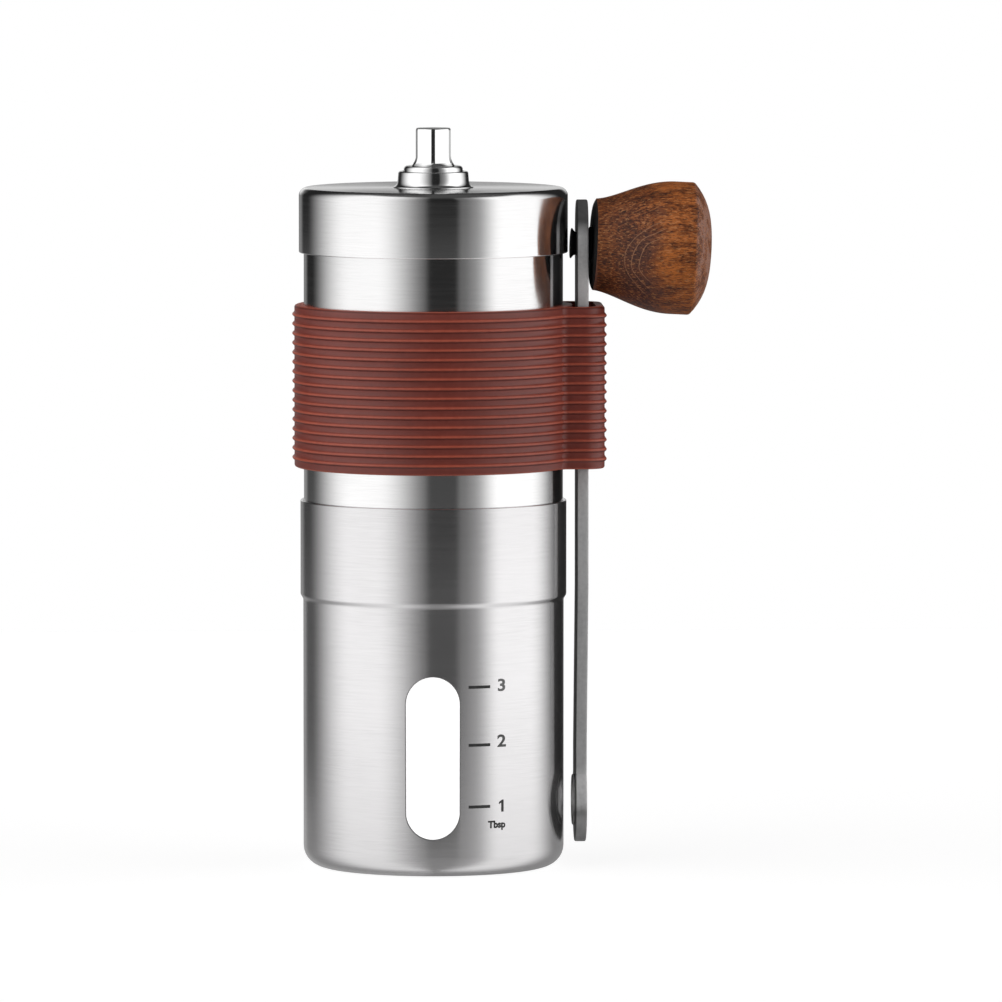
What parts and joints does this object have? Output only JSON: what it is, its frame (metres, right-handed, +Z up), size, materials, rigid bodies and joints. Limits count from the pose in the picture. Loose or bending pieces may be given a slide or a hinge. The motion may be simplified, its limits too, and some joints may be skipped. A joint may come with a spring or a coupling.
{
  "type": "hand crank coffee grinder",
  "caption": "Slim steel hand coffee grinder with a catch cup, conical ceramic burrs, a silicone grip band and a wood-knobbed crank stowed along its side.",
  "frame": {"origin": "centre of the cup's flat underside", "axes": "+Z up along the tube's axis; -Y towards the front, where the viewing slot is; +X towards the stowed crank"},
  "size_m": [0.0776, 0.0522, 0.137],
  "materials": {
    "brushed_steel": "brushed around the axis",
    "polished_steel": "polished",
    "arm_steel": "tumbled satin",
    "plain_steel": "turned",
    "blackened_steel": "black oxide",
    "ceramic": "fired, unglazed",
    "black_plastic": "fine moulded texture",
    "acetal": "smooth",
    "brass": "turned",
    "milky_plastic": "frosted",
    "silicone": "ribbed matt silicone",
    "stained_wood": "stained and oiled"
  },
  "bodies": {
    "cup": {"cup_shell": "brushed_steel", "cup_liner": "milky_plastic"},
    "body": {"body_tube": "brushed_steel", "hopper_funnel": "black_plastic", "burr_housing": "black_plastic", "outer_burr": "ceramic", "burr_retainer": "black_plastic", "retainer_screws": "plain_steel", "lower_bush": "brass", "shaft_bridge": "black_plastic", "upper_bush": "brass", "grip_band": "silicone"},
    "spindle": {"main_shaft": "plain_steel", "drive_head": "polished_steel", "thrust_washer": "plain_steel", "shaft_clip": "plain_steel"},
    "burr": {"inner_burr": "ceramic", "burr_driver": "plain_steel", "burr_spring": "plain_steel", "spring_washer": "plain_steel", "click_washer": "plain_steel"},
    "adjuster": {"adjust_nut": "black_plastic", "nut_insert": "brass"},
    "lid": {"lid": "brushed_steel", "lid_collar": "polished_steel", "lid_plug": "black_plastic"},
    "crank": {"crank_arm": "arm_steel", "knob_axle": "blackened_steel"},
    "knob": {"knob": "stained_wood", "knob_bush": "acetal", "knob_ferrule": "blackened_steel"}
  },
  "joints": [
    {"name": "body_lift", "type": "slide", "parent": "cup", "child": "body", "axis": [0, 0, 1], "range_m": [0, 0.06]},
    {"name": "lid_lift", "type": "slide", "parent": "body", "child": "lid", "axis": [0, 0, 1], "range_m": [0, 0.035]},
    {"name": "crank_pull", "type": "slide", "parent": "body", "child": "crank", "axis": [0.0096, 0, 1], "range_m": [0, 0.11]},
    {"name": "spindle_turn", "type": "hinge", "parent": "body", "child": "spindle", "pos_m": [0, 0, 0.112], "axis": [0, 0, 1], "continuous": true},
    {"name": "burr_slide", "type": "slide", "parent": "spindle", "child": "burr", "axis": [0, 0, 1], "range_m": [0, 0.0012], "deforming": ["burr_spring"]},
    {"name": "nut_turn", "type": "hinge", "parent": "burr", "child": "adjuster", "pos_m": [0, 0, 0.05], "axis": [0, 0, 1], "range_deg": [0, 541]},
    {"name": "knob_spin", "type": "hinge", "parent": "crank", "child": "knob", "pos_m": [0.0298, 0, 0.1154], "axis": [0.9982, 0.0349, -0.0488], "continuous": true}
  ],
  "couplings": [
    {"joint": "nut_turn", "follows": "burr_slide", "rad_per_m": 7854}
  ]
}
